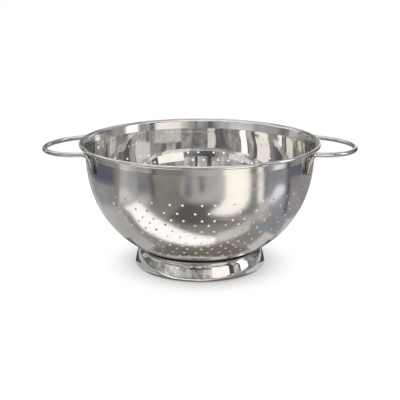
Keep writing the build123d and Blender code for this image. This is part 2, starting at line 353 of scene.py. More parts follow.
def makeFoot(sizes, bowlLine):
    # The side arc is tangent inside the shoulder and ends on the bottom edge, so its centre lies
    # sideArc - shoulder from the shoulder's centre and sideArc from the edge. The arc is traced a
    # little past the edge, and the points stop on it.
    runs = np.linspace(0, runEnds(bowlLine)[arcs - 1], lookupCount)
    radii = sectionAt(bowlLine, runs)[0]
    outer = sizes["flangeRadius"]
    ends = np.interp([outer - sizes["flangeWidth"], outer], radii, runs)
    (startRadius, endRadius), (startHeight, endHeight), (startSlope, endSlope) = sectionAt(bowlLine, ends)
    turned = endSlope - math.radians(sizes["creaseTurn"])
    creaseX = endRadius + sizes["crease"] * (math.sin(endSlope) - math.sin(turned))
    creaseZ = endHeight + sizes["crease"] * (math.cos(turned) - math.cos(endSlope))
    shoulderX = creaseX + math.sin(turned) * sizes["shoulder"]
    shoulderZ = creaseZ - math.cos(turned) * sizes["shoulder"]
    bottom = outer + sizes["flare"]
    width = bottom - shoulderX
    reach = math.hypot(width, shoulderZ)
    gap = sizes["sideArc"] - sizes["shoulder"]
    corner = (gap ** 2 + reach ** 2 - sizes["sideArc"] ** 2) / (2 * gap * reach)
    toCentre = -math.atan2(shoulderZ, width) - math.acos(corner)
    centreX = shoulderX + math.cos(toCentre) * gap
    centreZ = shoulderZ + math.sin(toCentre) * gap
    shoulderEnd = toCentre + math.pi / 2
    edge = -math.pi / 2 + math.atan2(-centreZ, bottom - centreX)
    steps = [
        (bowlSizes["kneeArc"], math.degrees(endSlope - startSlope)), (sizes["crease"], -sizes["creaseTurn"]),
        (sizes["shoulder"], math.degrees(shoulderEnd - turned)),
        (sizes["sideArc"], math.degrees(edge - shoulderEnd) - sizes["overrun"]),
    ]
    trace = traceSection((startRadius, startHeight), math.degrees(startSlope), steps)
    marks = runEnds(trace)
    fine = np.linspace(marks[2], marks[3], lookupCount)
    turns = np.concatenate([np.arange(sizes["columns"]) * 360 / sizes["columns"], [0]])
    bevel = sizes["edgeRound"]
    line = []
    for depth, way in ((0.0, -1), (-sizes["sheet"], 1)):
        _, height, slope = sectionAt(trace, fine)
        stop = np.interp(-bevel, -height - np.cos(slope) * depth, fine)
        ends = (0.0, *marks[:3], stop)
        spans = [np.linspace(*pair, count) for *pair, count in zip(ends, ends[1:], sizes["points"])]
        run = np.concatenate([spans[0], *(span[1:] for span in spans[1:])])
        radius, height, slope = sectionAt(trace, run)
        place = np.stack([radius - np.sin(slope) * depth, height + np.cos(slope) * depth], 1)
        square = np.stack([np.sin(slope), -np.cos(slope)], 1) * way
        line.append((place, square))
    (upper, upperOut), (under, underOut) = line
    inset = bevel * sizes["edgeShare"]
    rim = np.array([[upper[-1, 0] - inset, 0.0], [under[-1, 0] + inset, 0.0]])
    down = np.array([[0.0, -1.0], [0.0, -1.0]])
    places = np.concatenate([upper, rim, under[::-1], upper[:1]])
    outs = np.concatenate([upperOut, down, underOut[::-1], upperOut[:1]])
    points = spin(places[:, :1], places[:, 1:], turns[None])
    normals = spin(outs[:, :1], outs[:, 1:], turns[None]) / mm
    quads = gridFaces(len(places), len(turns), flip=True)
    inside = np.zeros(len(places) * len(turns))
    return addPiece("footRing", [(*flatten(points, normals), quads, inside)], "inside")


footPiece = makeFoot(footSizes, bowlLine)
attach(footPiece, "root")
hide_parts("foot_ring")

# The handles: round wire, from a tail on the wall round a splayed corner to the loop and back.
wireSizes = {
    "diameter": 4.5, "halfWidth": 43.4, "reach": 41.45, "height": 119.9, "droop": 2.0, "sideTurn": 45.0,
    "legRun": 5.4, "cornerGap": 0.64, "legBendShare": 0.95, "splay": 10.72, "tailGap": 0.95,
    "tailDrop": 3.6, "tailRun": 12.9, "tailLean": 1.7, "tailBendShare": 0.7, "endRound": 1.0,
    "seatDepth": 0.7, "seatGap": 0.01, "lineScale": 0.1,
    "around": 28, "endPoints": 6, "tailPoints": 5, "bendPoints": 11, "sidePoints": 15, "tipPoints": 17,
}


def bendPoints(before, corner, after, run, count):
    # A round bend whose ends lie this run from the corner: from the start it goes
    # R times (sine along the first line + (1 - cosine) towards the second).
    ahead = (corner - before) / np.linalg.norm(corner - before)
    onward = (after - corner) / np.linalg.norm(after - corner)
    turn = math.acos(float(ahead @ onward))
    radius = run / math.tan(turn / 2)
    across = (onward - ahead * math.cos(turn)) / math.sin(turn)
    angle = np.linspace(0, turn, count)[:, None]
    points = corner - ahead * run + radius * (np.sin(angle) * ahead + (1 - np.cos(angle)) * across)
    return points, np.cos(angle) * ahead + np.sin(angle) * across


def wirePath(sizes):
    # Half of the wire's centre line and its directions, mirrored across y = 0. The loop's side and
    # tip are two tangent arcs in the drooping plane.
    radius = sizes["diameter"] / 2
    wall = bowlSizes["wallRadius"]
    cornerReach = math.sqrt((wall + radius + sizes["cornerGap"]) ** 2 - sizes["halfWidth"] ** 2)
    droop = math.radians(sizes["droop"])
    outward = np.array([math.cos(droop), 0, -math.sin(droop)])
    sideways = np.array([0.0, 1.0, 0.0])
    origin = np.array([cornerReach + sizes["legRun"], 0, sizes["height"]])
    loopStart = origin + sideways * sizes["halfWidth"]
    legCorner = loopStart - outward * sizes["legRun"]
    tailRadius = wall + radius + sizes["tailGap"]
    topTurn = math.degrees(math.asin((sizes["halfWidth"] + sizes["splay"]) / tailRadius))
    topHeight = sizes["height"] - sizes["tailDrop"]
    bottomHeight = topHeight - sizes["tailRun"]
    radii, heights, _ = sectionAt(bowlLine, np.linspace(0, runEnds(bowlLine)[arcs], lookupCount))
    seat = np.interp(bottomHeight, heights, radii) + radius - sizes["seatDepth"]
    tailTop = spin(tailRadius, topHeight, topTurn) / mm
    tailBottom = spin(seat, bottomHeight, topTurn + sizes["tailLean"]) / mm
    legBend = sizes["legRun"] * sizes["legBendShare"]
    tailBend = (np.linalg.norm(legCorner - tailTop) - legBend) * sizes["tailBendShare"]
    tail, tailWay = bendPoints(tailBottom, tailTop, legCorner, tailBend, sizes["bendPoints"])
    leg, legWay = bendPoints(tailTop, legCorner, loopStart, legBend, sizes["bendPoints"])
    ahead = (tailTop - tailBottom) / np.linalg.norm(tailTop - tailBottom)
    bevel = np.linspace(0, math.pi / 2, sizes["endPoints"])[:, None]
    cap = tailBottom + ahead * np.concatenate([[[0.0]], sizes["endRound"] * (1 - np.cos(bevel))])
    side = math.radians(sizes["sideTurn"])
    cosine, sine = math.cos(side), math.sin(side)
    scale = cosine * sine - (1 - cosine) * (1 - sine)
    sideRadius = (sizes["reach"] * cosine - sizes["halfWidth"] * (1 - sine)) / scale
    tipRadius = (sizes["halfWidth"] * sine - sizes["reach"] * (1 - cosine)) / scale
    tip = np.linspace(side, math.pi / 2, sizes["tipPoints"])[1:]
    turn = np.concatenate([np.linspace(0, side, sizes["sidePoints"]), tip])
    early, late = np.minimum(turn, side), np.maximum(turn, side)
    out = sideRadius * np.sin(early) + tipRadius * (np.sin(late) - sine)
    over = sizes["halfWidth"] - sideRadius * (1 - np.cos(early)) - tipRadius * (cosine - np.cos(late))
    loop = origin + out[:, None] * outward + over[:, None] * sideways
    loopWay = np.cos(turn)[:, None] * outward - np.sin(turn)[:, None] * sideways
    tailLength = np.linalg.norm(tail[0] - tailBottom)
    straight = np.linspace(sizes["endRound"], tailLength, sizes["tailPoints"])[1:-1, None]
    straight = tailBottom + ahead * straight
    half = np.concatenate([cap, straight, tail, leg, loop])
    halfWay = np.concatenate([np.tile(ahead, (len(cap) + len(straight), 1)), tailWay, legWay, loopWay])
    beyond = len(half) - len(cap)
    capRadii = radius - sizes["endRound"] * (1 - np.sin(bevel[:, 0]))
    spread = np.concatenate([[0.0], capRadii, np.full(beyond, radius)])
    lift = np.concatenate([[1.0], np.cos(bevel[:, 0]), np.zeros(beyond)])
    mirror = np.array([1.0, -1.0, 1.0])
    path = np.concatenate([half, half[-2::-1] * mirror])
    way = np.concatenate([halfWay, -halfWay[-2::-1] * mirror])
    spread = np.concatenate([spread, spread[-2::-1]])
    lift = np.concatenate([-lift, lift[-2::-1]])
    return path, way, spread, lift, (radii, heights)


def makeHandle(name, sizes, half):
    # A circle square to the path at each of its points: centre + radius times (cosine across +
    # sine up). Where the wire meets the wall it is pressed flat against it. half turns it by 180.
    path, way, spread, lift, (wallRadii, wallHeights) = wirePath(sizes)
    guide = np.array([1.0, 1.0, -1.0]) / math.sqrt(3)
    across = np.cross(way, guide)
    across /= np.linalg.norm(across, axis=1)[:, None]
    up = np.cross(across, way)
    angle = np.radians(np.concatenate([np.arange(sizes["around"]) * 360 / sizes["around"], [0]]))
    ring = np.cos(angle)[None, :, None] * across[:, None] + np.sin(angle)[None, :, None] * up[:, None]
    points = path[:, None] + ring * spread[:, None, None]
    normals = ring * np.sqrt(1 - lift ** 2)[:, None, None] + way[:, None] * lift[:, None, None]
    reach = np.hypot(points[..., 0], points[..., 1])
    wall = np.interp(points[..., 2], wallHeights, wallRadii) + sizes["seatGap"]
    seated = reach < wall
    push = np.where(seated, wall / reach, 1.0)
    inward = np.stack([-points[..., 0] / reach, -points[..., 1] / reach, np.zeros_like(reach)], -1)
    points[..., :2] *= push[..., None]
    normals = np.where(seated[..., None], inward, normals)
    length = np.concatenate([[0], np.cumsum(np.linalg.norm(np.diff(path, axis=0), axis=1))])
    along = np.broadcast_to(length[:, None] * sizes["lineScale"], reach.shape)
    extra = np.stack(np.broadcast_arrays(along, np.cos(angle)[None], np.sin(angle)[None]), -1)
    flip = np.array([-1.0, -1.0, 1.0]) if half else np.ones(3)
    quads = gridFaces(len(path), len(angle), flip=True)
    patch = (*flatten(points * flip * mm, normals * flip), quads, extra.reshape(-1, 3))
    return addPiece(name, [patch], "wireLine")


wirePieces = []
for name, node, half in (("handleRight", "right_handle", False), ("handleLeft", "left_handle", True)):
    piece = makeHandle(name, wireSizes, half)
    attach(piece, "root")
    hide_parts(node)
    wirePieces.append(piece)
print("pieces made")


# Polished steel. The grain is noise whose coordinates are the distance from the axis and the height,
# so it is drawn out round the axis, plus a little of x and y that ends each streak. A grain is these
# two scales. A noise is its scale, detail and roughness. Marks are the least and the most that comes
# of a noise, with the noise's values for them where they aren't the usual ones.
turnedLook = {
    "anisotropy": 0.3, "grainTurn": 0.25, "insideMetal": 0.95, "dull": 0.94, "dullSpan": (0.4, 0.6),
    "fineGrain": (2600.0, 60.0), "fineNoise": (1.0, 2.0), "fineRelief": 0.04, "fineDepth": 0.00002,
    "broadGrain": (420.0, 16.0), "broadNoise": (1.0, 3.0, 0.6), "broadRelief": 0.08, "broadDepth": 0.00004,
    "broadMarks": (-0.035, 0.05),
    "smudgeNoise": (24.0, 5.0, 0.62), "smudgeMarks": (-0.03, 0.05, 0.35, 0.75), "leastRough": 0.03,
    "waveStretch": (1.0, 1.0, 0.3),
    # The seam's colour, width and fade are painted shade: near black in the crevice where bowl and foot
    # meet.
    "seam": (0.0583, 0.01767), "seamRough": 0.4, "seamShadeColour": (0.02, 0.016, 0.012),
    "flareStart": (0.1150, 0.1175), "flareEnd": (0.1228, 0.1238),
}
steelLooks = {
    "bowl": {
        **turnedLook, "colour": (0.90, 0.885, 0.865),
        "outside": 0.17, "inside": 0.035, "spread": (0.8, 0.25),
        "waves": (0.00014, 0.0005), "waveNoises": ((24.0, 0.5), (46.0, 0.6)),
        "seamShadeWidth": (0.0012, 0.0036), "seamShadeFade": 1.0, "flareRough": 0.11,
    },
    "foot": {
        **turnedLook, "colour": (0.90, 0.895, 0.885),
        "outside": 0.05, "inside": 0.12, "spread": (0.4, 0.4),
        "waves": (0.0003, 0.0003), "waveNoises": ((40.0, 0.5), (40.0, 0.6)),
        "seamShadeWidth": (0.0008, 0.0080), "seamShadeFade": 3.0, "flareRough": 0.0,
    },
}
wireLook = {
    "colour": (0.88, 0.87, 0.855), "dull": 0.88, "rough": (0.09, 0.20), "relief": 0.12, "depth": 0.0001,
    "grainStretch": (0.35, 1.0, 1.0), "grainNoise": (9.0, 3.0, 0.6),
    "smudgeNoise": (60.0, 4.0, 0.6), "smudgeMarks": (-0.03, 0.05),
    # The tails' colour, heights and reaches are painted shade: dark brown on the wall side of each tail and
    # at its end.
    "tailShadeColour": (0.13, 0.10, 0.07), "tintHeights": (0.1085, 0.1185), "tintReaches": (0.1158, 0.1182),
    "endHeights": (0.1041, 0.1052), "tintMarks": (0.75, 1.0), "tintRough": 0.08,
}
weldLook = {
    "colour": (0.55, 0.50, 0.44), "dull": 0.75, "rough": (0.26, 0.44), "relief": 0.3, "depth": 0.0002,
    "castNoise": (900.0, 4.0, 0.6),
}


class Nodes:
    # Adds nodes to one tree and joins them. An input takes a number, a colour or another node's
    # output. All but feed and add give the output itself.
    def __init__(self, tree):
        self.tree = tree

    def feed(self, node, inputs):
        for key, value in inputs.items():
            if isinstance(value, bpy.types.NodeSocket):
                self.tree.links.new(value, node.inputs[key])
            else:
                node.inputs[key].default_value = value

    def add(self, kind, inputs=None, **settings):
        node = self.tree.nodes.new("ShaderNode" + kind)
        for key, value in settings.items():
            setattr(node, key, value)
        self.feed(node, inputs or {})
        return node

    def math(self, operation, *values):
        return self.add("Math", dict(enumerate(values)), operation=operation).outputs[0]

    def scaled(self, vector, scale):
        return self.add("VectorMath", {0: vector, 1: scale}, operation="MULTIPLY").outputs[0]

    def length(self, vector):
        return self.add("VectorMath", {0: vector}, operation="LENGTH").outputs["Value"]

    def noise(self, vector, scale, detail, roughness=0.5):
        inputs = {"Vector": vector, "Scale": scale, "Detail": detail, "Roughness": roughness}
        return self.add("TexNoise", inputs).outputs["Fac"]

    def span(self, value, low, high, fromLow=0.3, fromHigh=0.7, **settings):
        # From low to high while the value goes from fromLow to fromHigh.
        inputs = {"Value": value, "From Min": fromLow, "From Max": fromHigh, "To Min": low, "To Max": high}
        return self.add("MapRange", inputs, **settings).outputs["Result"]

    def colour(self, share, first, second):
        # From the first colour to the second as the share grows.
        inputs = {0: share}
        for key, value in ((6, first), (7, second)):
            inputs[key] = (*value, 1.0) if isinstance(value, tuple) else value
        return self.add("Mix", inputs, data_type="RGBA").outputs[2]

    def relief(self, height, strength, depth, below=None):
        # A bump, over another one where there is one below.
        inputs = {"Height": height, "Strength": strength, "Distance": depth}
        return self.add("Bump", {**inputs, "Normal": below} if below else inputs).outputs[0]


def newMaterial(name):
    # An empty material and a way to add its nodes.
    material = bpy.data.materials.new(name)
    material.use_nodes = True
    return material, Nodes(material.node_tree)


def turnedSteel(name, look):
    # Roughness = the face's own + spread times (streaks + smudges), more on the flare and at the
    # seam. Relief = fine grain + broad streaks + the slow wave that a pressed sheet keeps, drawn out
    # up the wall on the inside. The colour darkens a little in the smudges. Near the seam where bowl and
    # foot meet, the colour is painted shade: near black for the crevice's shadow, and on the foot a wider
    # shade that fades over its shoulder. Seam shade = nearness to the seam's circle (radius, height) to a
    # power, on the outer faces only.
    material, nodes = newMaterial(name)
    place = nodes.add("TexCoord").outputs["Object"]
    split = nodes.add("SeparateXYZ", {0: place}).outputs
    reach = nodes.length(nodes.scaled(place, (1.0, 1.0, 0.0)))

    def drawnOut(scale, ends):
        # The grain's coordinates: scale times (distance, height) + ends times (x, y).
        first = nodes.math("MULTIPLY_ADD", reach, scale, nodes.math("MULTIPLY", split[0], ends))
        second = nodes.math("MULTIPLY_ADD", split[2], scale, nodes.math("MULTIPLY", split[1], ends))
        return nodes.add("CombineXYZ", {0: first, 1: second}).outputs[0]

    fine = nodes.noise(drawnOut(*look["fineGrain"]), *look["fineNoise"])
    broad = nodes.noise(drawnOut(*look["broadGrain"]), *look["broadNoise"])
    smudge = nodes.noise(place, *look["smudgeNoise"])
    inside = nodes.add("Attribute", attribute_name="inside").outputs["Fac"]
    face = nodes.span(inside, look["outside"], look["inside"], 0.0, 1.0)
    spread = nodes.span(inside, *look["spread"], 0.0, 1.0)
    streaks = nodes.span(broad, *look["broadMarks"])
    marks = nodes.math("ADD", streaks, nodes.span(smudge, *look["smudgeMarks"]))
    rough = nodes.math("ADD", face, nodes.math("MULTIPLY", marks, spread))
    ringRadius, ringHeight = look["seam"]
    fromRing = nodes.math("SUBTRACT", reach, ringRadius)
    fromLevel = nodes.math("SUBTRACT", split[2], ringHeight)
    offSeam = nodes.length(nodes.add("CombineXYZ", {0: fromRing, 1: fromLevel}).outputs[0])
    # Painted shade at the seam: near black in the crevice between bowl and foot, and on the foot a wider
    # shade that fades over its shoulder.
    near = nodes.math("POWER", nodes.span(offSeam, 1.0, 0.0, *look["seamShadeWidth"]), look["seamShadeFade"])
    seam = nodes.math("MULTIPLY", near, nodes.math("SUBTRACT", 1.0, inside))
    rough = nodes.math("MAXIMUM", rough, look["leastRough"])
    rough = nodes.math("ADD", rough, nodes.math("MULTIPLY", seam, look["seamRough"]))
    aboveCrease = nodes.span(split[2], 0.0, look["flareRough"], *look["flareStart"])
    flare = nodes.math("MULTIPLY", aboveCrease, nodes.span(split[2], 1.0, 0.0, *look["flareEnd"]))
    rough = nodes.math("ADD", rough, nodes.math("MULTIPLY", flare, inside))
    dull = tuple(part * look["dull"] for part in look["colour"])
    clean = nodes.colour(nodes.span(smudge, 0.0, 1.0, *look["dullSpan"]), dull, look["colour"])
    calm = nodes.noise(place, *look["waveNoises"][0])
    drawn = nodes.noise(nodes.scaled(place, look["waveStretch"]), *look["waveNoises"][1])
    calm, drawn = (nodes.math("MULTIPLY", *pair) for pair in zip((calm, drawn), look["waves"]))
    wave = nodes.math("ADD", calm, nodes.math("MULTIPLY", drawn, inside))
    grain = nodes.relief(fine, look["fineRelief"], look["fineDepth"])
    streak = nodes.relief(broad, look["broadRelief"], look["broadDepth"], grain)
    nodes.feed(material.node_tree.nodes["Principled BSDF"], {
        "Base Color": nodes.colour(seam, clean, look["seamShadeColour"]), "Roughness": rough,
        "Metallic": nodes.span(inside, 1.0, look["insideMetal"], 0.0, 1.0),
        "Normal": nodes.relief(wave, 1.0, 1.0, streak),
        "Anisotropic": look["anisotropy"], "Anisotropic Rotation": look["grainTurn"],
        "Tangent": nodes.add("Tangent", direction_type="RADIAL", axis="Z").outputs[0],
    })
    return material


def drawnWire(name, look):
    # The grain runs along the wire: noise of (length, cosine, sine) with the length held back. The
    # tails carry painted shade, dark brown, on the half next to the wall and at the tail's end, where
    # shade falls between wire and wall: shade = growth down the tail times nearness to the wall, and it
    # is whole at the tail's end.
    material, nodes = newMaterial(name)
    line = nodes.add("Attribute", attribute_name="wireLine").outputs["Vector"]
    grain = nodes.noise(nodes.scaled(line, look["grainStretch"]), *look["grainNoise"])
    place = nodes.add("TexCoord").outputs["Object"]
    smudge = nodes.noise(place, *look["smudgeNoise"])
    height = nodes.add("SeparateXYZ", {0: place}).outputs[2]
    reach = nodes.length(nodes.scaled(place, (1.0, 1.0, 0.0)))
    # Painted shade: the tails turn dark brown on the side next to the wall and at their ends.
    down = nodes.span(height, 1.0, 0.0, *look["tintHeights"])
    near = nodes.math("MULTIPLY", down, nodes.span(reach, 1.0, 0.0, *look["tintReaches"]))
    tailShade = nodes.math("MAXIMUM", near, nodes.span(height, 1.0, 0.0, *look["endHeights"]))
    tailShade = nodes.math("MULTIPLY", tailShade, nodes.span(smudge, *look["tintMarks"]))
    rough = nodes.math("ADD", nodes.span(grain, *look["rough"]), nodes.span(smudge, *look["smudgeMarks"]))
    dull = tuple(part * look["dull"] for part in look["colour"])
    clean = nodes.colour(nodes.span(smudge, 0.0, 1.0), dull, look["colour"])
    nodes.feed(material.node_tree.nodes["Principled BSDF"], {
        "Base Color": nodes.colour(tailShade, clean, look["tailShadeColour"]), "Metallic": 1.0,
        "Roughness": nodes.math("ADD", rough, nodes.math("MULTIPLY", tailShade, look["tintRough"])),
        "Normal": nodes.relief(grain, look["relief"], look["depth"]),
    })
    return material


def weldSteel(name, look):
    # Small molten spots: a tinted, rougher steel with a fine cast grain.
    material, nodes = newMaterial(name)
    cast = nodes.noise(nodes.add("TexCoord").outputs["Object"], *look["castNoise"])
    dull = tuple(part * look["dull"] for part in look["colour"])
    nodes.feed(material.node_tree.nodes["Principled BSDF"], {
        "Base Color": nodes.colour(nodes.span(cast, 0.0, 1.0), dull, look["colour"]), "Metallic": 1.0,
        "Roughness": nodes.span(cast, *look["rough"]),
        "Normal": nodes.relief(cast, look["relief"], look["depth"]),
    })
    return material


def dress(piece, material):
    # The piece's only material.
    piece.data.materials.clear()
    piece.data.materials.append(material)


dress(bowlPiece, turnedSteel("polishedBowlSteel", steelLooks["bowl"]))
dress(footPiece, turnedSteel("mirrorFootSteel", steelLooks["foot"]))
wireSteel = drawnWire("drawnWireSteel", wireLook)
for piece in wirePieces:
    dress(piece, wireSteel)
nuggetSteel = weldSteel("weldSteel", weldLook)
for node in ("foot_welds", "right_handle_welds", "left_handle_welds"):
    dress(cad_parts[node], nuggetSteel)
print("materials made")

